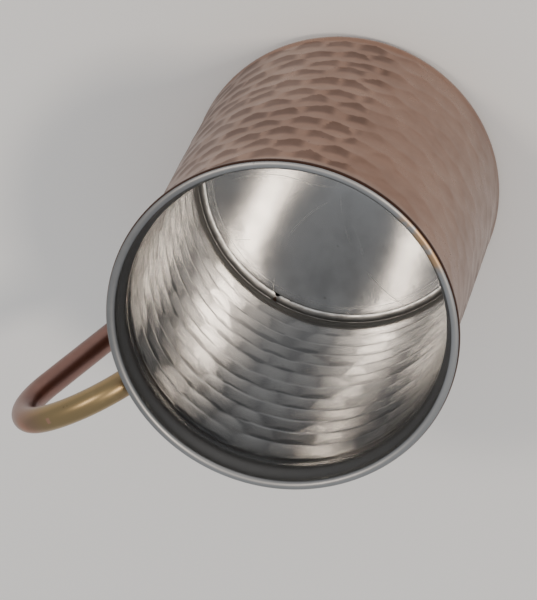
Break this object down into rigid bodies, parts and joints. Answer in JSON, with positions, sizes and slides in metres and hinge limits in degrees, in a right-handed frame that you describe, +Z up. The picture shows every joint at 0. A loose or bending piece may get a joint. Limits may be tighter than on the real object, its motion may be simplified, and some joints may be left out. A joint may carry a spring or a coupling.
{
  "type": "hammered copper mug",
  "caption": "Hammered copper drinking mug with a pale metal lining, a rolled rim and a bent tube handle brazed to one side.",
  "frame": {"origin": "centre of the foot ring, on the plane the mug stands on", "axes": "+Z up along the body's axis, +X toward the handle, +Y across the handle's plane"},
  "size_m": [0.1272, 0.086, 0.104],
  "materials": {
    "hammered_copper": "satin",
    "tinned_lining": "satin",
    "silver_solder": "polished",
    "handle_brass": "satin",
    "braze": "matte"
  },
  "bodies": {
    "root": {"wall": "hammered_copper", "wall_lining": "tinned_lining", "base_pan": "hammered_copper", "base_lining": "tinned_lining", "base_solder": "silver_solder", "handle": "handle_brass", "upper_handle_braze": "braze", "lower_handle_braze": "braze"}
  },
  "joints": []
}
